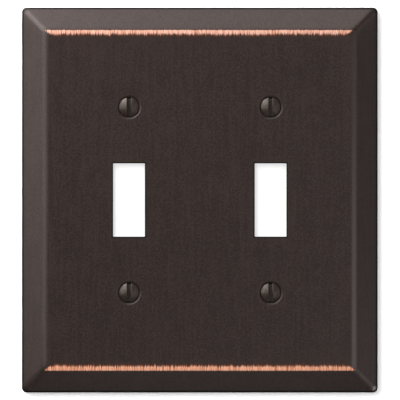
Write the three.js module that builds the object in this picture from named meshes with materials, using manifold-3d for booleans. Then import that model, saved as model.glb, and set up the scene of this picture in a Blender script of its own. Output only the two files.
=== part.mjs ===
// A stamped steel wall plate for two toggle switches, with its four oval-head screws.
// Millimetres, +Z up. The origin is the centre of the rim plane, where the plate meets the wall. The face looks along -Y.
import * as THREE from "three";
import { mergeVertices } from "three/addons/utils/BufferGeometryUtils.js";
import Module from "manifold-3d";

const wasm = await Module();
wasm.setup();

const INCH = 25.4;

// Plate
const PLATE_WIDTH = (4 + 9 / 16) * INCH;
const PLATE_HEIGHT = (4 + 15 / 16) * INCH;
const PLATE_DEPTH = 0.25 * INCH;
const SHEET = 0.035 * INCH;
const LIP_HEIGHT = 2.4;
const BEVEL_WIDTH = 7.7; // from the outer edge to where the bevel's and the face's planes meet
const CORNER_RADIUS = 1.5; // of the rim's outline
const MITRE_RADIUS = 1.8; // of the outline further in, where two bevels meet
const LIP_ROLL = 1.0; // outer radius where the lip turns into the bevel
const FACE_ROLL = 5; // outer radius where the bevel turns into the face

// Spacing set by the switches behind the plate
const GANG_PITCH = (1 + 13 / 16) * INCH;
const SCREW_SPACING = (2 + 3 / 8) * INCH;
const TOGGLE_WIDTH = 0.406 * INCH;
const TOGGLE_HEIGHT = 0.937 * INCH;

// Screws: 6-32, half an inch long, slotted oval head with an 82 degree cone
const THREAD_DIAMETER = 3.5;
const SCREW_LENGTH = 0.5 * INCH; // from the head's edge to the tip
const HEAD_DIAMETER = 6.4;
const HEAD_EDGE = 0.1; // height of the head's short straight rim
const HEAD_DOME = 0.95;
const HALF_CONE = THREE.MathUtils.degToRad(41);
const SLOT_WIDTH = 1.25;
const SLOT_DEPTH = 1.5; // from the top of the dome
const TIP_CHAMFER = 0.5;

// Dimples
const MOUTH_DIAMETER = 7.4; // where the dimple's cone would meet the face plane
const MOUTH_ROLL = 1.0; // radius where the face turns down into the cone
const HEAD_GAP = 0.3; // radial gap between a head's cone and its dimple
const CLEARANCE_DIAMETER = 4.4;
const HOLE_LAND = 0.5; // straight length of the hole under the cone

const ARC_STEPS = 5; // segments in each corner of an outline
const ROLL_STEPS = 4; // segments across each bend of the sheet
const DOME_STEPS = 6;
const ROUND_SEGMENTS = 32;
const PAST = 3; // how far a cutting tool runs beyond the surface it cuts

const FACE_Y = -PLATE_DEPTH;

function solidOf(geometry) {
  const bare = geometry.clone();
  bare.deleteAttribute("normal");
  bare.deleteAttribute("uv");
  const merged = mergeVertices(bare, 1e-4);
  return new wasm.Manifold(
    new wasm.Mesh({
      numProp: 3,
      vertProperties: new Float32Array(merged.attributes.position.array),
      triVerts: new Uint32Array(merged.index.array),
    }),
  );
}

function geometryOf(solid) {
  const made = solid.getMesh();
  const points = new Float32Array(made.numVert * 3);
  for (let i = 0; i < made.numVert; i++) {
    const first = i * made.numProp;
    points.set(made.vertProperties.subarray(first, first + 3), i * 3);
  }
  const geometry = new THREE.BufferGeometry();
  geometry.setAttribute("position", new THREE.BufferAttribute(points, 3));
  geometry.setIndex(new THREE.BufferAttribute(new Uint32Array(made.triVerts), 1));
  geometry.computeVertexNormals();
  return geometry;
}

// The plate's outline pulled in by `inset`, as points round the Y axis at depth y.
// `offset` is how far inside the sheet's outer surface the points lie.
function ring(inset, y, offset) {
  const halfWidth = PLATE_WIDTH / 2 - inset;
  const halfHeight = PLATE_HEIGHT / 2 - inset;
  const radius = Math.min(CORNER_RADIUS + inset - offset, MITRE_RADIUS) - offset;
  const points = [];
  for (let corner = 0; corner < 4; corner++) {
    const signX = corner === 0 || corner === 3 ? 1 : -1;
    const signZ = corner < 2 ? 1 : -1;
    for (let step = 0; step <= ARC_STEPS; step++) {
      const angle = ((corner + step / ARC_STEPS) * Math.PI) / 2;
      points.push([
        signX * (halfWidth - radius) + radius * Math.cos(angle),
        y,
        signZ * (halfHeight - radius) + radius * Math.sin(angle),
      ]);
    }
  }
  return points;
}

// One side of the sheet, from the rim up the lip, round the first bend, up the bevel and round the second bend.
// Each entry is [inset, y]. `offset` is as for ring.
function sheetProfile(offset) {
  const slope = Math.atan2(PLATE_DEPTH - LIP_HEIGHT, BEVEL_WIDTH);
  const profile = [[offset, 0]];
  const bend = (corner, fromAngle, toAngle, outerRadius) => {
    // The bend's centre lies inside the shell, on the bisector of the two surfaces that it joins.
    const half = Math.abs(toAngle - fromAngle) / 2;
    const bisector = (fromAngle + toAngle) / 2;
    const reach = outerRadius / Math.cos(half);
    const centre = [
      corner[0] + reach * Math.cos(bisector),
      corner[1] + reach * Math.sin(bisector),
    ];
    const radius = outerRadius - offset;
    for (let step = 0; step <= ROLL_STEPS; step++) {
      const angle = fromAngle + ((toAngle - fromAngle) * step) / ROLL_STEPS;
      profile.push([
        centre[0] - radius * Math.cos(angle),
        centre[1] - radius * Math.sin(angle),
      ]);
    }
  };
  const inwardOfLip = 0;
  const inwardOfBevel = Math.PI / 2 - slope;
  const inwardOfFace = Math.PI / 2;
  bend([0, -LIP_HEIGHT], inwardOfLip, inwardOfBevel, LIP_ROLL);
  bend([BEVEL_WIDTH, FACE_Y], inwardOfBevel, inwardOfFace, FACE_ROLL);
  return profile;
}

// Closed solid through a list of rings, with a flat cap over the first and the last.
function loft(rings) {
  const perRing = rings[0].length;
  const points = rings.flat(2);
  const triangles = [];
  for (let r = 0; r + 1 < rings.length; r++) {
    for (let i = 0; i < perRing; i++) {
      const next = (i + 1) % perRing;
      const [a, b] = [r * perRing + i, r * perRing + next];
      const [c, d] = [a + perRing, b + perRing];
      triangles.push(a, b, d, a, d, c);
    }
  }
  const last = (rings.length - 1) * perRing;
  for (let i = 1; i + 1 < perRing; i++) {
    triangles.push(0, i + 1, i);
    triangles.push(last, last + i, last + i + 1);
  }
  const geometry = new THREE.BufferGeometry();
  geometry.setAttribute("position", new THREE.Float32BufferAttribute(points, 3));
  geometry.setIndex(triangles);
  return solidOf(geometry);
}

// A round solid about an axis along Y through (x, z). Each profile entry is [radius, y].
function turned(profile, x, z) {
  const outline = profile.map(([radius, y]) => new THREE.Vector2(radius, y));
  const geometry = new THREE.LatheGeometry(outline, ROUND_SEGMENTS);
  geometry.translate(x, 0, z);
  return solidOf(geometry);
}

function block(width, depth, height, x, y, z) {
  const geometry = new THREE.BoxGeometry(width, depth, height);
  geometry.translate(x, y, z);
  return solidOf(geometry);
}

const GANGS = { left: -GANG_PITCH / 2, right: GANG_PITCH / 2 };
const ROWS = { top: SCREW_SPACING / 2, bottom: -SCREW_SPACING / 2 };

const screwPlaces = Object.entries(ROWS).flatMap(([row, z]) =>
  Object.entries(GANGS).map(([side, x]) => ({ name: `screw_${row}_${side}`, x, z })),
);

// Distance along an 82 degree cone's axis over which it narrows from one diameter to another.
const coneDepth = (wide, narrow) => (wide - narrow) / 2 / Math.tan(HALF_CONE);

// The head's edge lies as far below the face as its dimple is wide enough to leave the gap.
const HEAD_Y = FACE_Y + coneDepth(MOUTH_DIAMETER, HEAD_DIAMETER + 2 * HEAD_GAP);

function wallPlate() {
  const outside = loft(sheetProfile(0).map(([inset, y]) => ring(inset, y, 0)));
  const inner = sheetProfile(SHEET);
  inner[0][1] = PAST; // the hollow runs out past the rim
  const hollow = loft(inner.map(([inset, y]) => ring(inset, y, SHEET)));
  let plate = outside.subtract(hollow);

  const holeRadius = CLEARANCE_DIAMETER / 2;
  const neckY = FACE_Y + coneDepth(MOUTH_DIAMETER, CLEARANCE_DIAMETER);
  const endY = neckY + HOLE_LAND;
  const startY = FACE_Y + SHEET / 2;
  const wall = SHEET / Math.cos(HALF_CONE); // the sheet's thickness measured across the axis
  for (const { x, z } of screwPlaces) {
    const boss = [
      [0, startY],
      [MOUTH_DIAMETER / 2 + wall, startY],
      [holeRadius + SHEET, endY],
      [0, endY],
    ];
    plate = plate.add(turned(boss, x, z));
  }

  // The face turns down into the cone through 90 degrees less the cone's half angle.
  const turn = Math.PI / 2 - HALF_CONE;
  const startRadius = MOUTH_DIAMETER / 2 + MOUTH_ROLL * Math.tan(turn / 2);
  const roll = [];
  for (let step = 0; step <= ROLL_STEPS; step++) {
    const angle = (turn * step) / ROLL_STEPS;
    roll.push([
      startRadius - MOUTH_ROLL * Math.sin(angle),
      FACE_Y + MOUTH_ROLL * (1 - Math.cos(angle)),
    ]);
  }
  const dimple = [
    [0, FACE_Y - PAST],
    [startRadius, FACE_Y - PAST],
    ...roll,
    [holeRadius, neckY],
    [holeRadius, endY + PAST],
    [0, endY + PAST],
  ];
  for (const { x, z } of screwPlaces) {
    plate = plate.subtract(turned(dimple, x, z));
  }
  for (const x of Object.values(GANGS)) {
    plate = plate.subtract(block(TOGGLE_WIDTH, 4 * PAST, TOGGLE_HEIGHT, x, FACE_Y, 0));
  }
  return plate;
}

function screw(x, z) {
  const headRadius = HEAD_DIAMETER / 2;
  const shankRadius = THREAD_DIAMETER / 2;
  const tipY = HEAD_Y + SCREW_LENGTH;
  const topY = HEAD_Y - HEAD_EDGE - HEAD_DOME;
  // The dome is part of a sphere that passes through the head's edge and the top of the head.
  const sphere = (headRadius ** 2 + HEAD_DOME ** 2) / (2 * HEAD_DOME);
  const sweep = Math.asin(headRadius / sphere);
  const profile = [];
  for (let step = 0; step <= DOME_STEPS; step++) {
    const angle = (sweep * step) / DOME_STEPS;
    profile.push([sphere * Math.sin(angle), topY + sphere * (1 - Math.cos(angle))]);
  }
  profile.push(
    [headRadius, HEAD_Y],
    [shankRadius, HEAD_Y + coneDepth(HEAD_DIAMETER, THREAD_DIAMETER)],
    [shankRadius, tipY - TIP_CHAMFER],
    [shankRadius - TIP_CHAMFER, tipY],
    [0, tipY],
  );
  const slot = block(SLOT_WIDTH, 2 * SLOT_DEPTH, 2 * HEAD_DIAMETER, x, topY, z);
  return turned(profile, x, z).subtract(slot);
}

const steel = (color, roughness) =>
  new THREE.MeshStandardMaterial({ color, roughness, metalness: 0.6 });
const plateFinish = steel(0x3b3331, 0.5);
const screwFinish = steel(0x3a322f, 0.42);

const cover = new THREE.Group();

const plateMesh = new THREE.Mesh(geometryOf(wallPlate()), plateFinish);
plateMesh.name = "wall_plate";
cover.add(plateMesh);

for (const { name, x, z } of screwPlaces) {
  const screwMesh = new THREE.Mesh(geometryOf(screw(x, z)), screwFinish);
  screwMesh.name = name;
  cover.add(screwMesh);
}

export default cover;
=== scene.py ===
"""Looks of a two-gang toggle wall plate cover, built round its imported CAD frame.

Lengths are in millimetres, but for the studio's, which are in metres.
"""

import math

import bmesh
import bpy
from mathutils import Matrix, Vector


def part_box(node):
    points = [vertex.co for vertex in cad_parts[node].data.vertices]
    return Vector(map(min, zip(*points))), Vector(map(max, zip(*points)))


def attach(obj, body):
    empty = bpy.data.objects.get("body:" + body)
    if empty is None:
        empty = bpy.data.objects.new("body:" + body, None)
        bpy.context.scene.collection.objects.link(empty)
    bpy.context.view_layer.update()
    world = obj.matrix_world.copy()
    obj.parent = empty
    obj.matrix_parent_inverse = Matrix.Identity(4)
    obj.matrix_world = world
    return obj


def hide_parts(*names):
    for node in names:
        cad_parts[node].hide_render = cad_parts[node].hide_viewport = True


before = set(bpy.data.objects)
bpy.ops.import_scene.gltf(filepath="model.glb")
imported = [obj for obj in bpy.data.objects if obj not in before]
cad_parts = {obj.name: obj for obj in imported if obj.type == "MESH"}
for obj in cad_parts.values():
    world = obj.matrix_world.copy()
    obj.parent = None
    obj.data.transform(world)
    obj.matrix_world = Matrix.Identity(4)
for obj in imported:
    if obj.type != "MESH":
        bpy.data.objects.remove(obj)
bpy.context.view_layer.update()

MM = 0.001

# --------------------------------------------------------------------------------------------------
# Sizes. What the CAD frame can give is read from it; the rest repeats the CAD source's named values.
# --------------------------------------------------------------------------------------------------
plate_low, plate_high = (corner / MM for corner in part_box("wall_plate"))
HALF_WIDTH = (plate_high.x - plate_low.x) / 2
HALF_HEIGHT = (plate_high.z - plate_low.z) / 2
FACE_Y = plate_low.y
SHEET = 0.889
BACK_Y = FACE_Y + SHEET
LIP_HEIGHT = 2.4
BEVEL_WIDTH = 7.7
LIP_ROLL = 1.0
FACE_ROLL = 5.0
CORNER_RADIUS = 1.5
MITRE_RADIUS = 1.8
RIM_ROUNDING = 0.15

SCREWS = ("screw_top_left", "screw_top_right", "screw_bottom_left", "screw_bottom_right")


def screw_place(name):
    """A screw's axis: its x and z."""
    low, high = (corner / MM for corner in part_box(name))
    return (low.x + high.x) / 2, (low.z + high.z) / 2


GANG_X = abs(screw_place("screw_top_left")[0])
SCREW_Z = abs(screw_place("screw_top_left")[1])

TOGGLE_HALF_WIDTH = 10.3124 / 2
TOGGLE_HALF_HEIGHT = 23.7998 / 2
TOGGLE_CORNER = 0.25
PUNCH_ROLL = 0.2  # the rounded edge that a punch leaves where it enters
PUNCH_EXIT = 0.05

HALF_CONE = math.radians(41)
MOUTH_RADIUS = 3.7
MOUTH_ROLL = 1.0
NECK_ROLL = 0.25
HOLE_RADIUS = 2.2
HOLE_LAND = 0.5
HOLE_EXIT = 0.06
NECK_Y = FACE_Y + (MOUTH_RADIUS - HOLE_RADIUS) / math.tan(HALF_CONE)
HOLE_END_Y = NECK_Y + HOLE_LAND
BOSS_WIDE, BOSS_NARROW = 4.878, HOLE_RADIUS + SHEET
BOSS_EDGE = 0.12
BOSS_FOOT_ROLL = 0.5

HEAD_RADIUS = 3.2
HEAD_EDGE = 0.1
HEAD_EDGE_ROUNDING = 0.05
HEAD_CONE_ROUNDING = 0.03
HEAD_DOME = 0.92  # 0.03 less than the CAD, which leaves room for the burr
HEAD_GAP = 0.3  # between the head's cone and the dimple's, measured along the radius
HEAD_Y = FACE_Y + (MOUTH_RADIUS - HEAD_RADIUS - HEAD_GAP) / math.tan(HALF_CONE)
DOME_TOP_Y = HEAD_Y - HEAD_EDGE - HEAD_DOME
CROWN_RADIUS = HEAD_RADIUS - 0.07  # the dome gives way to the rounded rim here
SLOT_HALF = 0.625
SLOT_DEPTH = 1.5
SLOT_FLOOR_Y = DOME_TOP_Y + SLOT_DEPTH
SLOT_FLOOR_RADIUS = HEAD_RADIUS - (SLOT_FLOOR_Y - HEAD_Y) * math.tan(HALF_CONE)
SLOT_ROUNDING = 0.14
SLOT_ROUNDING_FADE = 0.06  # the share of half the slot's length over which it runs out
BURR_HEIGHT = 0.04  # raised along the slot by the saw
BURR_WIDTH = 0.34
BURR_FADE = 0.5
THREAD_RADIUS = 1.75
THREAD_PITCH = 25.4 / 32
THREAD_DEPTH = 0.46
THREAD_RUN_OUT = 1.0
SHANK_Y = HEAD_Y + (HEAD_RADIUS - THREAD_RADIUS) / math.tan(HALF_CONE)
SHANK_ROUNDING = 0.3
PLAIN_LENGTH = 0.25  # between the cone and the thread
THREAD_START_Y = SHANK_Y + PLAIN_LENGTH
SCREW_LENGTH = 12.7  # from the head's edge to the tip
TIP_Y = HEAD_Y + SCREW_LENGTH
TIP_CHAMFER = 0.5

# How finely the meshes are divided.
MERGED = 0.002  # vertices nearer than this become one
DEGENERATE = 0.0005  # edges shorter than this go
SHARP_ANGLE = math.radians(38)
HOLD = 0.12  # from a rounding to the ring of vertices that keeps the flat beside it flat
GRID_MARGIN = 10.0  # inset of the flat grid's edge
GRID_CELL = 2.4
POCKET = 6.36  # half the square that is left out of the grid for each dimple
POCKET_CELLS = 6
SLIT = TOGGLE_HALF_HEIGHT + 1.2  # half the height that is left out of it for each toggle opening
DIMPLE_COLUMNS = 56
# Columns of vertices on a head, from the slot's edge to the widest point, close together over the burr.
HEAD_COLUMNS = (0, 0.038, 0.056, 0.074, 0.092, 0.116, 0.16, 0.22, 0.30, 0.39, 0.49, 0.59, 0.69, 0.80, 0.90, 1)
QUARTER = len(HEAD_COLUMNS) - 1
SLOT_CELLS = 18
ALONG_SLOT = [math.sin(math.pi / 2 * (2 * j / SLOT_CELLS - 1)) for j in range(SLOT_CELLS + 1)]
SLOT_ARC = 5  # steps in the rounding of the slot's upper edge
TIP_RING_SHARE = 0.6  # of the tip's radius, for the ring of vertices on its flat
THREAD_COLUMNS = 40
PER_PITCH = 8
THREAD_PROFILE = (0, 0, 0.18, 0.73, 1, 1, 0.73, 0.18)  # depth share at eighths of a pitch, from the crest


# --------------------------------------------------------------------------------------------------
# Mesh building
# --------------------------------------------------------------------------------------------------
class Shape:
    """Vertices and faces. Points are given from the shape's own axis, which lies along Y at (x, z)."""

    def __init__(self, x=0.0, z=0.0):
        self.x, self.z = x, z
        self.points, self.faces = [], []

    def add(self, points):
        first = len(self.points)
        self.points.extend(Vector((self.x + x, y, self.z + z)) for x, y, z in points)
        return list(range(first, len(self.points)))

    def face(self, *corners):
        """A face, or nothing where corners that share a vertex leave fewer than three."""
        kept = []
        for corner in corners:
            if corner not in kept:
                kept.append(corner)
        if len(kept) > 2:
            self.faces.append(kept)

    def strip(self, a, b):
        """Quads between two open rows of as many vertices."""
        for k in range(len(a) - 1):
            self.face(a[k], a[k + 1], b[k + 1], b[k])

    def bridge(self, a, b):
        """Quads between two closed loops of as many vertices."""
        self.strip(a + a[:1], b + b[:1])

    def stitch(self, a, b):
        """Triangles between two closed loops that run the same way round, whatever their counts."""
        near = min(range(len(b)), key=lambda k: (self.points[b[k]] - self.points[a[0]]).length)
        b = b[near:] + b[:near]
        i = j = 0
        while i < len(a) or j < len(b):
            a0, a1 = a[i % len(a)], a[(i + 1) % len(a)]
            b0, b1 = b[j % len(b)], b[(j + 1) % len(b)]
            forward = (self.points[a1] - self.points[b0]).length
            across = (self.points[b1] - self.points[a0]).length
            if j == len(b) or (i < len(a) and forward <= across):
                self.face(a0, a1, b0)
                i += 1
            else:
                self.face(a0, b1, b0)
                j += 1

    def loft(self, front, loops, back):
        """Quads between closed loops in turn. The first is stitched to `front` and the last to `back`."""
        rings = [self.add(loop) for loop in loops]
        for a, b in zip(rings, rings[1:]):
            self.bridge(a, b)
        self.stitch(front, rings[0])
        self.stitch(back, rings[-1])

    def object(self, name, material):
        mesh = bpy.data.meshes.new(name)
        mesh.from_pydata([p * MM for p in self.points], [], self.faces)
        bm = bmesh.new()
        bm.from_mesh(mesh)
        bmesh.ops.remove_doubles(bm, verts=bm.verts, dist=MERGED * MM)
        bmesh.ops.dissolve_degenerate(bm, edges=bm.edges, dist=DEGENERATE * MM)
        bmesh.ops.recalc_face_normals(bm, faces=bm.faces)
        for f in bm.faces:
            f.smooth = True
        bm.to_mesh(mesh)
        bm.free()
        mesh.set_sharp_from_angle(angle=SHARP_ANGLE)
        mesh.materials.append(material)
        made = bpy.data.objects.new(name, mesh)
        bpy.context.scene.collection.objects.link(made)
        return made


def rounded(path, turn_per_step=12):
    """A section's outline with its corners rounded. Each entry is (u, v) or (u, v, radius)."""
    out = [Vector(path[0][:2])]
    for before, corner, after in zip(path, path[1:], path[2:]):
        c = Vector(corner[:2])
        radius = corner[2] if len(corner) > 2 else 0
        if not radius:
            out.append(c)
            continue
        back, on = (Vector(before[:2]) - c).normalized(), (Vector(after[:2]) - c).normalized()
        half = back.angle(on) / 2
        reach = radius / math.tan(half)
        centre = c + (back + on).normalized() * radius / math.sin(half)
        spoke = c + back * reach - centre
        turn = math.pi - 2 * half
        if spoke.cross(c + on * reach - centre) < 0:
            turn = -turn
        steps = max(3, math.ceil(math.degrees(abs(turn)) / turn_per_step))
        hold = min(HOLD, radius)
        out.append(c + back * (reach + hold))
        for k in range(steps + 1):
            a = turn * k / steps
            out.append(centre + Vector((spoke.x * math.cos(a) - spoke.y * math.sin(a),
                                        spoke.x * math.sin(a) + spoke.y * math.cos(a))))
        out.append(c + on * (reach + hold))
    out.append(Vector(path[-1][:2]))
    return out


def divided(path, longest):
    """The same outline with no stretch longer than `longest`."""
    out = [path[0]]
    for a, b in zip(path, path[1:]):
        parts = max(1, math.ceil((b - a).length / longest))
        out.extend(a.lerp(b, k / parts) for k in range(1, parts + 1))
    return out


def rounded_rectangle(x, y, z, half_width, half_height, radius, across, upright, arc=6):
    """A loop round (x, z) at depth y, anticlockwise from the right, with the same count for any size."""
    corners = []
    for quarter, (sx, sz) in enumerate(((1, 1), (-1, 1), (-1, -1), (1, -1))):
        cx, cz = x + sx * (half_width - radius), z + sz * (half_height - radius)
        turns = ((quarter + k / arc) * math.pi / 2 for k in range(arc + 1))
        corners.append([Vector((cx + radius * math.cos(a), y, cz + radius * math.sin(a))) for a in turns])
    loop = []
    for corner, following, count in zip(corners, corners[1:] + corners[:1], (across, upright) * 2):
        loop += corner
        loop += [corner[-1].lerp(following[0], k / (count + 1)) for k in range(1, count + 1)]
    return loop


def circle(x, y, z, radius, count):
    turns = (2 * math.pi * k / count for k in range(count))
    return [Vector((x + radius * math.cos(a), y, z + radius * math.sin(a))) for a in turns]


def grid_lines(stops):
    """Positions of grid lines. `stops` alternates a position and the number of cells up to the next one."""
    lines = [stops[0]]
    for k in range(1, len(stops), 2):
        cells, end = stops[k], stops[k + 1]
        start = lines[-1]
        lines += [start + (end - start) * n / cells for n in range(1, cells + 1)]
    return lines


def flat_grid(shape, y, xs, zs, windows):
    """A flat grid at depth y with windows left out of it. Returns its outer loop and each window's loop."""
    ids = {}

    def vertex(i, j):
        if (i, j) not in ids:
            ids[i, j] = shape.add([(xs[i], y, zs[j])])[0]
        return ids[i, j]

    def loop(i0, i1, j0, j1):
        ring = [(i1, j) for j in range(j0, j1)] + [(i, j1) for i in range(i1, i0, -1)]
        ring += [(i0, j) for j in range(j1, j0, -1)] + [(i, j0) for i in range(i0, i1)]
        return [vertex(*place) for place in ring]

    def index(lines, value):
        return min(range(len(lines)), key=lambda k: abs(lines[k] - value))

    spans = []
    for x, z, half_width, half_height in windows:
        spans.append((index(xs, x - half_width), index(xs, x + half_width),
                      index(zs, z - half_height), index(zs, z + half_height)))
    for i in range(len(xs) - 1):
        for j in range(len(zs) - 1):
            if not any(a <= i < b and c <= j < d for a, b, c, d in spans):
                shape.face(vertex(i, j), vertex(i + 1, j), vertex(i + 1, j + 1), vertex(i, j + 1))
    return loop(0, len(xs) - 1, 0, len(zs) - 1), [loop(*span) for span in spans]


# --------------------------------------------------------------------------------------------------
# The plate
# --------------------------------------------------------------------------------------------------
def sheet_side(offset):
    """One side of the sheet from the lip up to the face, as (inset, y).

    `offset` is how far it lies inside the sheet's outside. Each bend has one centre for both sides.
    """
    slope = math.atan2(-FACE_Y - LIP_HEIGHT, BEVEL_WIDTH)
    path = []
    bends = (((0.0, -LIP_HEIGHT), 0.0, math.pi / 2 - slope, LIP_ROLL, 7),
             ((BEVEL_WIDTH, FACE_Y), math.pi / 2 - slope, math.pi / 2, FACE_ROLL, 8))
    for corner, start, end, radius, steps in bends:
        reach = radius / math.cos((end - start) / 2)
        middle = (start + end) / 2
        centre = Vector(corner) + reach * Vector((math.cos(middle), math.sin(middle)))
        arc = []
        for k in range(steps + 1):
            a = start + (end - start) * k / steps
            arc.append(centre - (radius - offset) * Vector((math.cos(a), math.sin(a))))
        before = Vector((-math.sin(start), math.cos(start)))
        after = Vector((math.sin(end), -math.cos(end)))
        path += [arc[0] + before * HOLD, *arc, arc[-1] + after * HOLD]
    return divided(path, longest=1.3)


def frame_section():
    """Face roll, bevel, lip, rim, and back up the inside, as (inset, y, corner radius)."""
    section = [(inset, y, min(CORNER_RADIUS + inset, MITRE_RADIUS)) for inset, y in reversed(sheet_side(0))]
    rim = rounded([(0, -LIP_HEIGHT / 2), (0, 0, RIM_ROUNDING),
                   (SHEET, 0, RIM_ROUNDING), (SHEET, -LIP_HEIGHT / 2)])
    section += [(inset, y, CORNER_RADIUS - inset) for inset, y in rim]
    section += [(inset, y, min(CORNER_RADIUS + inset - SHEET, MITRE_RADIUS) - SHEET)
                for inset, y in sheet_side(SHEET)]
    return section


def toggle_section():
    """The edge of an opening punched from the front, as (outset, y)."""
    run = 0.6  # straight stretches that lead in and out
    return rounded([(run, FACE_Y), (0, FACE_Y, PUNCH_ROLL), (0, BACK_Y, PUNCH_EXIT), (run, BACK_Y)])


def dimple_section():
    """A dimple pressed in round a screw hole, down its inside and up its back, as (radius, y)."""
    flare = MOUTH_ROLL * math.tan((math.pi / 2 - HALF_CONE) / 2)
    front_run, back_run = 0.5, 0.6  # straight stretches that lead in and out
    slope = (BOSS_WIDE - BOSS_NARROW) / (HOLE_END_Y - FACE_Y - SHEET / 2)
    boss_at_back = BOSS_NARROW + slope * (HOLE_END_Y - BACK_Y)
    section = [(MOUTH_RADIUS + flare + front_run, FACE_Y), (MOUTH_RADIUS, FACE_Y, MOUTH_ROLL),
               (HOLE_RADIUS, NECK_Y, NECK_ROLL), (HOLE_RADIUS, HOLE_END_Y, HOLE_EXIT),
               (BOSS_NARROW, HOLE_END_Y, BOSS_EDGE), (boss_at_back, BACK_Y, BOSS_FOOT_ROLL),
               (boss_at_back + back_run, BACK_Y)]
    return divided(rounded(section, turn_per_step=7), longest=0.6)


def plate_grid():
    """The x and z lines of the flat grids, with a line at each side of every window."""

    def cells(length):
        return max(1, round(length / GRID_CELL))

    x_end, z_end = HALF_WIDTH - GRID_MARGIN, HALF_HEIGHT - GRID_MARGIN
    inner, outer = GANG_X - POCKET, GANG_X + POCKET
    side = cells(x_end - outer)
    xs = grid_lines([-x_end, side, -outer, POCKET_CELLS, -inner, cells(2 * inner),
                     inner, POCKET_CELLS, outer, side, x_end])
    low, high = SCREW_Z - POCKET, SCREW_Z + POCKET
    top, gap = cells(z_end - high), cells(low - SLIT)
    zs = grid_lines([-z_end, top, -high, POCKET_CELLS, -low, gap, -SLIT, cells(2 * SLIT),
                     SLIT, gap, low, POCKET_CELLS, high, top, z_end])
    return xs, zs


def make_plate(material):
    """One shell: two flat grids, joined round the frame, through the toggle openings and the dimples."""
    plate = Shape()
    xs, zs = plate_grid()
    toggles = [(x, 0.0) for x in (-GANG_X, GANG_X)]
    dimples = [screw_place(name) for name in SCREWS]
    windows = [(x, z, POCKET, SLIT) for x, z in toggles] + [(x, z, POCKET, POCKET) for x, z in dimples]
    front_edge, front_windows = flat_grid(plate, FACE_Y, xs, zs, windows)
    back_edge, back_windows = flat_grid(plate, BACK_Y, xs, zs, windows)

    loops = [rounded_rectangle(0, y, 0, HALF_WIDTH - inset, HALF_HEIGHT - inset, radius,
                               across=40, upright=44)
             for inset, y, radius in frame_section()]
    plate.loft(front_edge, loops, back_edge)
    for (x, z), front, back in zip(toggles, front_windows, back_windows):
        loops = [rounded_rectangle(x, y, z, TOGGLE_HALF_WIDTH + out, TOGGLE_HALF_HEIGHT + out,
                                   TOGGLE_CORNER + out, across=5, upright=11, arc=4)
                 for out, y in toggle_section()]
        plate.loft(front, loops, back)
    for (x, z), front, back in zip(dimples, front_windows[2:], back_windows[2:]):
        plate.loft(front, [circle(x, y, z, radius, DIMPLE_COLUMNS) for radius, y in dimple_section()], back)
    return plate.object("plate_shell", material)


# --------------------------------------------------------------------------------------------------
# The screws
# --------------------------------------------------------------------------------------------------
def dome_y(radius):
    sphere = (HEAD_RADIUS ** 2 + HEAD_DOME ** 2) / (2 * HEAD_DOME)
    return DOME_TOP_Y + sphere - math.sqrt(sphere ** 2 - radius ** 2)


def burred_y(x, z):
    """The dome with the burr on it. The burr fades out towards the head's rim."""
    radius = math.hypot(x, z)
    away = min(1, max(0, (abs(x) - SLOT_HALF - SLOT_ROUNDING) / BURR_WIDTH))
    fade = min(1, max(0, (CROWN_RADIUS - radius) / BURR_FADE))
    return dome_y(radius) - BURR_HEIGHT * (1 - away * away * (3 - 2 * away)) * fade


def column_angle(radius, i):
    """From the slot's edge, i = 0, to square across it, i = QUARTER. Measured from +Z towards +X."""
    gap = math.asin(SLOT_HALF / radius)
    return gap + (math.pi / 2 - gap) * HEAD_COLUMNS[i]


def head_half(screw, sign, side):
    """Half a head, on the side of X that `sign` gives: dome, slot wall and side.

    Returns its lowest rim and the foot of its wall. `side` is the head's side as (radius, y).
    """
    dome_rows = [screw.add([(sign * CROWN_RADIUS, dome_y(CROWN_RADIUS), 0)]) * len(ALONG_SLOT)]
    for i in range(QUARTER - 1, 0, -1):
        a = column_angle(CROWN_RADIUS, i)
        x, end = CROWN_RADIUS * math.sin(a), CROWN_RADIUS * math.cos(a)
        dome_rows.append(screw.add([(sign * x, burred_y(x, end * t), end * t) for t in ALONG_SLOT]))
    rows = list(dome_rows)
    # The slot's upper edge is rounded, and the rounding runs out to nothing at the head's rim.
    end = math.sqrt(CROWN_RADIUS ** 2 - SLOT_HALF ** 2)
    rounding = [SLOT_ROUNDING * min(1, (1 - abs(t)) / SLOT_ROUNDING_FADE) for t in ALONG_SLOT]
    heights = [burred_y(SLOT_HALF + r, end * t) for r, t in zip(rounding, ALONG_SLOT)]
    for k in range(SLOT_ARC + 1):
        a = math.pi / 2 * k / SLOT_ARC
        out, down = 1 - math.sin(a), 1 - math.cos(a)
        rows.append(screw.add([(sign * (SLOT_HALF + r * out), h + r * down, end * t)
                               for r, t, h in zip(rounding, ALONG_SLOT, heights)]))
    dome_rows.append(rows[-SLOT_ARC - 1])
    tops = [h + r for h, r in zip(heights, rounding)]
    walls = [rows[-1]]
    for radius, y in side[1:]:
        share = (y - side[0].y) / (SLOT_FLOOR_Y - side[0].y)
        end = math.sqrt(radius ** 2 - SLOT_HALF ** 2)
        walls.append(screw.add([(sign * SLOT_HALF, top + (SLOT_FLOOR_Y - top) * share, end * t)
                                for top, t in zip(tops, ALONG_SLOT)]))
    rows += walls[1:]
    for a, b in zip(rows, rows[1:]):
        screw.strip(a, b)
    # The head's side, from the slot's upper end round to its lower end.
    inward = dome_rows[::-1]
    ring = [row[-1] for row in inward] + [row[0] for row in inward[-2::-1]]
    for (radius, y), wall in zip(side[1:], walls[1:]):
        upper = [column_angle(radius, i) for i in range(1, QUARTER + 1)]
        turns = upper + [math.pi - a for a in upper[-2::-1]]
        around = screw.add([(sign * radius * math.sin(a), y, radius * math.cos(a)) for a in turns])
        following = [wall[-1], *around, wall[0]]
        screw.strip(ring, following)
        ring = following
    return ring, walls[-1]


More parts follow.
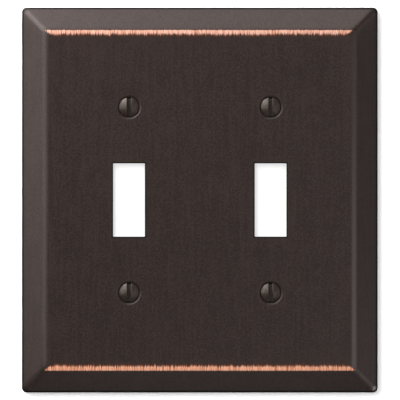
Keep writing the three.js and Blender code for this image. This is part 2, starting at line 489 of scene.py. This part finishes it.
def add_head(screw):
    """The oval head with its slot. Returns the loop where it ends, level with the slot's floor."""
    side = rounded([(CROWN_RADIUS, dome_y(CROWN_RADIUS)),
                    (HEAD_RADIUS, HEAD_Y - HEAD_EDGE, HEAD_EDGE_ROUNDING),
                    (HEAD_RADIUS, HEAD_Y, HEAD_CONE_ROUNDING), (SLOT_FLOOR_RADIUS, SLOT_FLOOR_Y)])
    right_ring, right_wall = head_half(screw, 1, side)
    left_ring, left_wall = head_half(screw, -1, side)
    floor = [right_wall]
    for share in (0.5, 0.0, -0.5):
        x = SLOT_HALF * share
        end = math.sqrt(SLOT_FLOOR_RADIUS ** 2 - x ** 2)
        floor.append(screw.add([(x, SLOT_FLOOR_Y, end * t) for t in ALONG_SLOT]))
    floor.append(left_wall)
    for a, b in zip(floor, floor[1:]):
        screw.strip(a, b)
    upper_ends = [row[0] for row in floor[1:-1]]
    lower_ends = [row[-1] for row in floor[-2:0:-1]]
    return right_ring + upper_ends + left_ring[::-1] + lower_ends


def add_shank(screw, ring):
    """The rest of the head's cone and the plain length. Returns the loop where the thread starts."""
    angles = [math.atan2(screw.points[v].x - screw.x, screw.points[v].z - screw.z) for v in ring]
    under = rounded([(SLOT_FLOOR_RADIUS, SLOT_FLOOR_Y), (THREAD_RADIUS, SHANK_Y, SHANK_ROUNDING),
                     (THREAD_RADIUS, THREAD_START_Y)])
    for radius, y in divided(under, longest=0.5)[1:]:
        following = screw.add([(radius * math.sin(a), y, radius * math.cos(a)) for a in angles])
        screw.bridge(ring, following)
        ring = following
    return ring


def thread_radius(y, phase):
    """The thread's radius, with a crest at each whole phase. It runs out under the head and at the tip."""
    at = (phase % 1) * PER_PITCH
    k = int(at) % PER_PITCH
    rise = THREAD_PROFILE[(k + 1) % PER_PITCH] - THREAD_PROFILE[k]
    depth = THREAD_PROFILE[k] + rise * (at - int(at))
    fade = min(1, max(0, (y - THREAD_START_Y) / THREAD_RUN_OUT))
    return min(THREAD_RADIUS - THREAD_DEPTH * depth * fade, THREAD_RADIUS - TIP_CHAMFER + (TIP_Y - y))


def add_thread(screw, ring):
    """Lines of vertices wind round the screw, so that the thread's crests and roots are true edges."""
    count = math.ceil((TIP_Y - THREAD_START_Y) / THREAD_PITCH + 2) * PER_PITCH
    turns = [c / THREAD_COLUMNS for c in range(THREAD_COLUMNS)]
    columns = []
    for turn in turns:
        a = 2 * math.pi * turn
        column = []
        for m in range(count + 1):
            y = THREAD_START_Y + (m / PER_PITCH - 1 + turn) * THREAD_PITCH
            y = min(max(y, THREAD_START_Y), TIP_Y)
            radius = thread_radius(y, (y - THREAD_START_Y) / THREAD_PITCH - turn)
            column.append((radius * math.sin(a), y, radius * math.cos(a)))
        columns.append(screw.add(column))
    for a, b in zip(columns, columns[1:]):
        screw.strip(a, b)
    screw.strip(columns[-1][:-PER_PITCH], columns[0][PER_PITCH:])
    # A clamped end holds several vertices in one place: the first of each column stands for them.
    screw.stitch([column[0] for column in columns], ring)
    inner_radius = TIP_RING_SHARE * (THREAD_RADIUS - TIP_CHAMFER)
    inner = screw.add([(inner_radius * math.sin(2 * math.pi * turn), TIP_Y,
                        inner_radius * math.cos(2 * math.pi * turn)) for turn in turns])
    screw.bridge([column[-1] for column in columns], inner)
    centre = screw.add([(0, TIP_Y, 0)])[0]
    for a, b in zip(inner, inner[1:] + inner[:1]):
        screw.face(a, b, centre)


def make_screw(name, material):
    """A slotted oval-head machine screw, its slot upright, with a real helical thread."""
    screw = Shape(*screw_place(name))
    add_thread(screw, add_shank(screw, add_head(screw)))
    return screw.object(name.replace("screw", "oval_screw"), material)


# --------------------------------------------------------------------------------------------------
# Materials
# --------------------------------------------------------------------------------------------------
class Nodes:
    """Short ways to write a material's node tree. Places are in millimetres."""

    def __init__(self, name):
        self.material = bpy.data.materials.new(name)
        self.material.use_nodes = True
        self.tree = self.material.node_tree
        self.shader = self.tree.nodes["Principled BSDF"]
        place = self.new("ShaderNodeTexCoord")
        split = self.new("ShaderNodeSeparateXYZ")
        scaled = self.new("ShaderNodeVectorMath", operation="SCALE")
        scaled.inputs["Scale"].default_value = 1 / MM
        self.link(place.outputs["Object"], scaled.inputs[0])
        self.link(scaled.outputs[0], split.inputs[0])
        self.place = scaled.outputs[0]
        self.x, self.y, self.z = split.outputs

    def new(self, kind, **settings):
        node = self.tree.nodes.new(kind)
        for key, value in settings.items():
            setattr(node, key, value)
        return node

    def link(self, source, target):
        self.tree.links.new(source, target)

    def put(self, value, socket):
        if isinstance(value, bpy.types.NodeSocket):
            self.link(value, socket)
        else:
            socket.default_value = value

    def math(self, operation, *values):
        node = self.new("ShaderNodeMath", operation=operation)
        for value, socket in zip(values, node.inputs):
            self.put(value, socket)
        return node.outputs[0]

    def fold(self, operation, values):
        """An operation of two values, on any number of them from left to right."""
        result = values[0]
        for value in values[1:]:
            result = self.math(operation, result, value)
        return result

    def sum(self, *values):
        return self.fold("ADD", values)

    def product(self, *values):
        return self.fold("MULTIPLY", values)

    def largest(self, *values):
        return self.fold("MAXIMUM", values)

    def minus(self, a, b):
        return self.math("SUBTRACT", a, b)

    def size(self, value):
        return self.math("ABSOLUTE", value)

    def distance(self, a, b):
        return self.math("SQRT", self.sum(self.product(a, a), self.product(b, b)))

    def ramp(self, value, low, high, out_low=0.0, out_high=1.0):
        """Eased from out_low to out_high while value goes from low to high."""
        node = self.new("ShaderNodeMapRange", interpolation_type="SMOOTHSTEP")
        for socket, v in zip(node.inputs, (value, low, high, out_low, out_high)):
            self.put(v, socket)
        return node.outputs[0]

    def from_screw(self):
        """How far right of and above the nearest screw's axis a point lies."""
        return [self.minus(place, self.product(self.math("SIGN", place), centre))
                for place, centre in ((self.x, GANG_X), (self.z, SCREW_Z))]

    def noise(self, scale, detail=2.0, roughness=0.5, stretch=(1, 1, 1), shift=(0, 0, 0)):
        """Noise of about `scale` features per millimetre, from 0 to 1 round 0.5."""
        mapping = self.new("ShaderNodeMapping")
        mapping.inputs["Scale"].default_value = [scale * s for s in stretch]
        mapping.inputs["Location"].default_value = shift
        self.link(self.place, mapping.inputs["Vector"])
        node = self.new("ShaderNodeTexNoise")
        node.inputs["Scale"].default_value = 1.0
        node.inputs["Detail"].default_value = detail
        node.inputs["Roughness"].default_value = roughness
        self.link(mapping.outputs[0], node.inputs["Vector"])
        return node.outputs[0]

    def mix(self, share, a, b):
        """Colour a where share is 0 and b where it is 1. Sockets 6 and 7 are the node's two colours."""
        node = self.new("ShaderNodeMix", data_type="RGBA")
        self.put(share, node.inputs[0])
        self.put((*a, 1) if isinstance(a, tuple) else a, node.inputs[6])
        self.put((*b, 1) if isinstance(b, tuple) else b, node.inputs[7])
        return node.outputs[2]

    def bump(self, height, distance, strength, normal=None):
        node = self.new("ShaderNodeBump")
        node.inputs["Distance"].default_value = distance * MM
        node.inputs["Strength"].default_value = strength
        self.link(height, node.inputs["Height"])
        if normal is not None:
            self.link(normal, node.inputs["Normal"])
        return node.outputs[0]

    def finish(self, colour, roughness, normal, specular, sheen):
        """Links the shader's looks and returns the material."""
        self.link(colour, self.shader.inputs["Base Color"])
        self.link(roughness, self.shader.inputs["Roughness"])
        self.link(normal, self.shader.inputs["Normal"])
        self.shader.inputs["Specular IOR Level"].default_value = specular
        self.shader.inputs["Specular Tint"].default_value = (*sheen, 1.0)
        return self.material


DARK_BRONZE = (0.0210, 0.0139, 0.0119)
WARM_BRONZE = (0.0362, 0.0240, 0.0203)
# Painted shade, for the lip, the dimples and the punched edges.
PAINTED_SHADE_BRONZE = (0.0060, 0.0042, 0.0037)
# Painted highlight, for the plate's right ridge and lower right mitre and the screws' slot edges.
HIGHLIGHT_BRONZE = (0.072, 0.060, 0.056)
# A painted glint on a corner.
GLINT_PALE = (0.26, 0.225, 0.205)
RUBBED_BROWN = (0.130, 0.037, 0.015)
COPPER_DEEP = (0.56, 0.245, 0.150)
COPPER_LIGHT = (0.76, 0.46, 0.37)
# Painted light: a brighter, redder copy of the copper, for the lower band.
LIT_LOWER_COPPER_DEEP = (0.70, 0.26, 0.140)
LIT_LOWER_COPPER_PALE = (0.97, 0.50, 0.33)
# Painted light, for the slot's floor.
PAINTED_LIGHT_SLOT = (0.046, 0.035, 0.031)
PLATE_SHEEN = (1.0, 0.88, 0.86)
SCREW_SHEEN = (1.0, 0.89, 0.78)
PLATE_SPECULAR, PLATE_ROUGHNESS = 0.37, 0.275
SCREW_SPECULAR, SCREW_ROUGHNESS = 0.42, 0.26

# Insets from the plate's edge. Noise is added to the copper's, which makes its strokes.
COPPER_START = BEVEL_WIDTH - 0.82
COPPER_END = BEVEL_WIDTH - 0.12
RIDGE = BEVEL_WIDTH + 0.05
GLINT_X, GLINT_Z = HALF_WIDTH - 0.99, -HALF_HEIGHT + 1.26  # the middle of the painted glint at a corner


def brushed_copper(n, inset, from_side, upper, strokes, streaks):
    """How far the paint is brushed away along the top and bottom ridges, from 0 to 1."""
    # It starts sharply on the bevel, and ends in brush strokes of uneven length on the face.
    coarse = n.noise(0.7, 2.0, 0.6, stretch=(1, 0, 0.1))
    start = n.sum(n.product(upper, 0.24), n.product(strokes, 0.7), COPPER_START)
    end = n.sum(n.product(coarse, 0.8), n.product(strokes, 1.8), n.product(upper, 0.14), COPPER_END)
    on_bevel = n.ramp(n.minus(inset, start), -0.28, 0.26)
    on_face = n.ramp(n.minus(inset, end), -1.25, 0.9, 1.0, 0.0)
    # Some strokes run on, faint, past the others.
    faint = n.product(n.ramp(strokes, 0.42, 0.62, 0.06, 0.34),
                      n.ramp(inset, BEVEL_WIDTH + 0.9, BEVEL_WIDTH + 2.9, 1.0, 0.0))
    on_face = n.largest(on_face, faint)
    # It meets the mitres, but for the upper right one, where it ends before it.
    gap = n.sum(n.product(upper, n.ramp(n.x, -1, 1), 0.6), -0.1)
    past_mitre = n.minus(n.minus(from_side, inset), gap)
    inside_mitre = n.ramp(n.minus(past_mitre, n.product(strokes, 2.0)), -1.4, 0.0)
    on_front = n.ramp(n.y, FACE_Y + 0.4, FACE_Y + 0.5, 1.0, 0.0)
    return n.product(on_bevel, on_face, inside_mitre, on_front, n.ramp(streaks, 0.28, 0.52, 0.55, 1.0))


def painted_shade_and_dull(n, lip):
    """Painted shade: the lip, the dimples and the punched edges are painted darker, and they are duller."""
    to_right, to_top = n.from_screw()
    near_axis = n.ramp(n.distance(to_right, to_top), MOUTH_RADIUS + 0.7, MOUTH_RADIUS + 1.1, 1.0, 0.0)
    dimple = n.product(n.ramp(n.y, FACE_Y + 0.2, FACE_Y + 0.5), near_axis)
    past_edge = n.largest(n.minus(n.size(to_right), TOGGLE_HALF_WIDTH),
                          n.minus(n.size(n.z), TOGGLE_HALF_HEIGHT))
    punched = n.ramp(past_edge, 0.40, 0.65, 1.0, 0.0)
    return n.largest(lip, dimple, punched)


def ridge_and_mitre_highlights(n, inset, from_side, lip):
    """Painted highlight: lighter paint on the right ridge, and on the lower right mitre most of all.

    Returns the two together, and the mitres alone.
    """
    toward_lower_right = n.ramp(n.minus(n.x, n.z), -10, 100, 0.1, 1.0)
    ridge = n.ramp(n.size(n.minus(from_side, RIDGE)), 0.2, 1.2, 1.0, 0.0)
    ridge = n.product(ridge, n.ramp(n.minus(inset, from_side), -0.6, 0.6))
    mitre = n.ramp(n.size(n.minus(from_side, inset)), 0.2, 1.8, 0.8, 0.0)
    mitre = n.product(mitre, n.ramp(inset, BEVEL_WIDTH - 0.5, BEVEL_WIDTH + 0.5, 1.0, 0.0))
    return n.product(n.largest(ridge, mitre), n.product(toward_lower_right, n.minus(1.0, lip))), mitre


def plate_finish():
    """Dark rubbed bronze paint, brushed through to copper along the top and bottom ridges of the frame."""
    n = Nodes("rubbed_bronze_plate")
    # How far in from the plate's edge a point lies, top or bottom and left or right.
    inset = n.minus(HALF_HEIGHT, n.size(n.z))
    from_side = n.minus(HALF_WIDTH, n.size(n.x))
    upper = n.ramp(n.z, -1, 1)
    lip = n.ramp(n.y, -LIP_HEIGHT - 0.42, -LIP_HEIGHT - 0.30)
    strokes = n.noise(3.4, 1.0, 0.7, stretch=(1, 0, 0.05), shift=(7.3, 2.1, 0.4))
    streaks = n.noise(2.2, 2.0, 0.8, stretch=(1, 0, 0.05), shift=(1.7, 5.2, 3.9))
    wear = brushed_copper(n, inset, from_side, upper, strokes, streaks)
    dull = painted_shade_and_dull(n, lip)
    painted_highlight, mitre = ridge_and_mitre_highlights(n, inset, from_side, lip)
    # A painted glint: a small pale spot on the lower right corner.
    from_glint = n.distance(n.minus(n.x, GLINT_X), n.minus(n.z, GLINT_Z))
    corner_glint = n.product(n.ramp(from_glint, 0.2, 1.2, 1.0, 0.0), n.ramp(n.y, -LIP_HEIGHT, -LIP_HEIGHT - 0.3))

    mottle = n.noise(0.16, 3.0, 0.55)
    grain = n.noise(2.1, 2.0, 0.7)
    brushing = n.noise(1.1, 2.0, 0.6, stretch=(1, 1, 0.06), shift=(2.5, 0.3, 6.1))
    tone = n.sum(n.product(mottle, 0.16), n.product(grain, 0.62), n.product(brushing, 0.22))
    paint = n.mix(n.ramp(tone, 0.40, 0.60), DARK_BRONZE, WARM_BRONZE)
    # Painted highlight on the right ridge and the lower right mitre.
    paint = n.mix(n.product(painted_highlight, 0.85), paint, HIGHLIGHT_BRONZE)
    # Painted shade: darker paint on the lip, in the dimples and round the punched edges.
    paint = n.mix(dull, paint, PAINTED_SHADE_BRONZE)
    paint = n.mix(corner_glint, paint, GLINT_PALE)
    # The lower band's copper is a brighter, redder copy: painted light on the band that faces down.
    copper = n.mix(n.ramp(streaks, 0.36, 0.64), n.mix(upper, LIT_LOWER_COPPER_DEEP, COPPER_DEEP),
                   n.mix(upper, LIT_LOWER_COPPER_PALE, COPPER_LIGHT))
    worn = n.mix(n.ramp(wear, 0.30, 0.80), RUBBED_BROWN, copper)
    colour = n.mix(n.ramp(wear, 0.03, 0.42), paint, worn)

    rough = n.sum(PLATE_ROUGHNESS, n.product(grain, 0.11), n.product(dull, 0.3))
    rough = n.sum(n.minus(rough, n.product(mitre, 0.09)), n.product(wear, 0.06))
    peel = n.bump(n.noise(1.3, 3.0, 0.55, shift=(3, 5, 1)), 0.012, 0.5)
    peel = n.bump(brushing, 0.004, 0.5, peel)
    brushed = n.bump(n.product(strokes, wear), 0.03, 0.5, peel)
    return n.finish(colour, rough, brushed, PLATE_SPECULAR, PLATE_SHEEN)


def screw_finish():
    """The same bronze on the screws, a little smoother, and dull where the thread was cut."""
    n = Nodes("rubbed_bronze_screw")
    mottle = n.noise(0.9, 3.0, 0.6)
    grain = n.noise(4.0, 2.0, 0.6)
    tone = n.sum(n.product(mottle, 0.6), n.product(grain, 0.4))
    paint = n.mix(n.ramp(tone, 0.35, 0.65), DARK_BRONZE, WARM_BRONZE)
    # Painted light: the slot's floor and the foot of its walls are painted paler, where the slot lies in
    # shade.
    to_right, to_top = n.from_screw()
    across = n.ramp(n.size(to_right), SLOT_HALF - 0.025, SLOT_HALF + 0.015, 1.0, 0.0)
    above_floor = n.ramp(n.y, SLOT_FLOOR_Y - 0.7, SLOT_FLOOR_Y)
    under_floor = n.ramp(n.y, SLOT_FLOOR_Y + 0.05, SLOT_FLOOR_Y + 0.15, 1.0, 0.0)
    paint = n.mix(n.product(across, above_floor, under_floor, 0.8), paint, PAINTED_LIGHT_SLOT)
    # Painted highlight: the slot's right edge is painted lighter, most of all at the top.
    from_edge = n.size(n.minus(to_right, SLOT_HALF + 0.155))
    slot_edge_highlight = n.product(n.ramp(from_edge, 0.08, 0.24, 1.0, 0.0), n.ramp(to_top, -0.6, 1.6))
    slot_edge_highlight = n.product(slot_edge_highlight, n.ramp(n.y, FACE_Y - 0.35, FACE_Y - 0.05, 0.7, 0.0))
    paint = n.mix(slot_edge_highlight, paint, HIGHLIGHT_BRONZE)
    shank = n.ramp(n.y, SHANK_Y - 0.15, SHANK_Y + 0.25)
    rough = n.sum(n.product(grain, 0.10), SCREW_ROUGHNESS, n.product(shank, 0.10))
    grainy = n.bump(n.noise(2.2, 2.0, 0.5), 0.008, 0.5)
    return n.finish(paint, rough, grainy, SCREW_SPECULAR, SCREW_SHEEN)


# --------------------------------------------------------------------------------------------------
# Pieces on their bodies
# --------------------------------------------------------------------------------------------------
shell = make_plate(plate_finish())
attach(shell, "plate")
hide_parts("wall_plate")

bronze = screw_finish()
for screw_name in SCREWS:
    made = make_screw(screw_name, bronze)
    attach(made, screw_name)
    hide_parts(screw_name)

# --------------------------------------------------------------------------------------------------
# Studio, in metres: a white wall with the plate on it, a pale floor, soft lights and the camera
# --------------------------------------------------------------------------------------------------
STAGE_REACH = 1.0
FLOOR_Z = -0.12
WALL_Y = 0.0003
WALL_HALF = 0.45
BACKING_Y = -0.0051
BACKING_HALF_WIDTH, BACKING_HALF_HEIGHT = 0.007, 0.014


def stage_material(name, colour, glow, one_sided=True):
    """Matt and faintly glowing. One-sided, it is clear from behind, so the plate's back can be looked at."""
    made = bpy.data.materials.new(name)
    made.use_nodes = True
    tree = made.node_tree
    tree.nodes.clear()
    output = tree.nodes.new("ShaderNodeOutputMaterial")
    paint = tree.nodes.new("ShaderNodeBsdfPrincipled")
    paint.inputs["Base Color"].default_value = (*colour, 1)
    paint.inputs["Roughness"].default_value = 0.9
    paint.inputs["Specular IOR Level"].default_value = 0.0
    paint.inputs["Emission Color"].default_value = (1, 1, 1, 1)
    paint.inputs["Emission Strength"].default_value = glow
    if not one_sided:
        tree.links.new(paint.outputs[0], output.inputs["Surface"])
        return made
    side = tree.nodes.new("ShaderNodeNewGeometry")
    clear = tree.nodes.new("ShaderNodeBsdfTransparent")
    pick = tree.nodes.new("ShaderNodeMixShader")
    tree.links.new(side.outputs["Backfacing"], pick.inputs[0])
    tree.links.new(paint.outputs[0], pick.inputs[1])
    tree.links.new(clear.outputs[0], pick.inputs[2])
    tree.links.new(pick.outputs[0], output.inputs["Surface"])
    return made


def stage_panels(name, panels, material):
    """Flat panels, each given by its four corners, anticlockwise as seen from its good side.

    They are only looked at, and neither light the plate nor shade it.
    """
    mesh = bpy.data.meshes.new(name)
    points = [p for panel in panels for p in panel]
    mesh.from_pydata(points, [], [range(k, k + 4) for k in range(0, len(points), 4)])
    mesh.materials.append(material)
    made = bpy.data.objects.new(name, mesh)
    bpy.context.scene.collection.objects.link(made)
    for ray in ("visible_diffuse", "visible_glossy", "visible_shadow", "visible_transmission"):
        setattr(made, ray, False)


def upright_panel(x, y, z, half_width, half_height):
    """A panel whose good side looks along -Y."""
    return [(x - half_width, y, z - half_height), (x + half_width, y, z - half_height),
            (x + half_width, y, z + half_height), (x - half_width, y, z + half_height)]


white = stage_material("studio_white", (1.75, 1.75, 1.75), 0.08)
stage_panels("studio_wall", [upright_panel(0, WALL_Y, FLOOR_Z + WALL_HALF, WALL_HALF, WALL_HALF)], white)
# White close behind the toggle openings, so that they're as bright as the wall.
backing = stage_material("studio_backing", (0.58, 0.58, 0.58), 0.50)
stage_panels("studio_backing", [upright_panel(x * MM, BACKING_Y, 0, BACKING_HALF_WIDTH, BACKING_HALF_HEIGHT)
                                for x in (-GANG_X, GANG_X)], backing)
stage_corners = [(-STAGE_REACH, -STAGE_REACH), (STAGE_REACH, -STAGE_REACH),
                 (STAGE_REACH, STAGE_REACH), (-STAGE_REACH, STAGE_REACH)]
pale = stage_material("studio_floor", (0.60, 0.60, 0.59), 0.25, one_sided=False)
stage_panels("studio_floor", [[(x, y, FLOOR_Z) for x, y in stage_corners]], pale)
# Paper hangs round the stage, its good side inwards.
paper = stage_material("studio_paper", (0.1, 0.1, 0.1), 0.62)
stage_panels("studio_paper", [[(*b, FLOOR_Z), (*a, FLOOR_Z), (*a, STAGE_REACH), (*b, STAGE_REACH)]
                              for a, b in zip(stage_corners, stage_corners[1:] + stage_corners[:1])], paper)


def softbox(name, azimuth, elevation, distance, size, radiance):
    """A soft square light aimed at the origin. Azimuth 0 is in front of the plate and 90 to its right."""
    a, e = math.radians(azimuth), math.radians(elevation)
    away = Vector((math.sin(a) * math.cos(e), -math.cos(a) * math.cos(e), math.sin(e)))
    lamp = bpy.data.lights.new(name, "AREA")
    lamp.shape = "SQUARE"
    lamp.size = size
    lamp.energy = radiance * math.pi * size * size
    made = bpy.data.objects.new(name, lamp)
    made.location = away * distance
    made.rotation_euler = away.to_track_quat("Z", "Y").to_euler()
    made.visible_camera = False
    bpy.context.scene.collection.objects.link(made)


softbox("key", -35, 35, 0.9, 0.45, 5.4)
softbox("key_low", -35, 10, 0.9, 0.45, 2.7)
softbox("left", -55, 10, 0.9, 0.45, 2.2)
softbox("near_upper_left", -60, 50, 0.3, 0.15, 8.2)
softbox("top", 5, 60, 0.9, 0.45, 3.4)
softbox("front", 14, 0, 0.9, 0.3, 0.6)
softbox("right", 45, 10, 0.9, 0.45, 0.8)
softbox("low_right", 25, -15, 0.9, 0.45, 1.4)
softbox("near_right", 60, -20, 0.3, 0.15, 0.66)
softbox("near_below", 0, -50, 0.3, 0.15, 0.83)
softbox("rear", 190, 25, 0.9, 0.8, 4.0)
softbox("rear_right", 130, 15, 0.9, 0.45, 2.5)
softbox("rear_left", 230, 15, 0.9, 0.45, 2.5)

world = bpy.data.worlds.new("studio")
world.use_nodes = True
world.node_tree.nodes["Background"].inputs["Color"].default_value = (1, 1, 1, 1)
world.node_tree.nodes["Background"].inputs["Strength"].default_value = 0.06
bpy.context.scene.world = world

FRAME_WIDTH = 0.130  # what the camera sees, at the face
FRAME_SHIFT_X = 0.00007
CAMERA_DISTANCE = 2.0  # from the face
camera_data = bpy.data.cameras.new("camera")
camera_data.sensor_width = 36
camera_data.lens = camera_data.sensor_width * CAMERA_DISTANCE / FRAME_WIDTH
camera_data.clip_end = 100
camera = bpy.data.objects.new("camera", camera_data)
camera.location = (FRAME_SHIFT_X, FACE_Y * MM - CAMERA_DISTANCE, 0)
camera.rotation_euler = (math.pi / 2, 0, 0)
bpy.context.scene.collection.objects.link(camera)
bpy.context.scene.camera = camera
bpy.context.scene.view_settings.view_transform = "Standard"
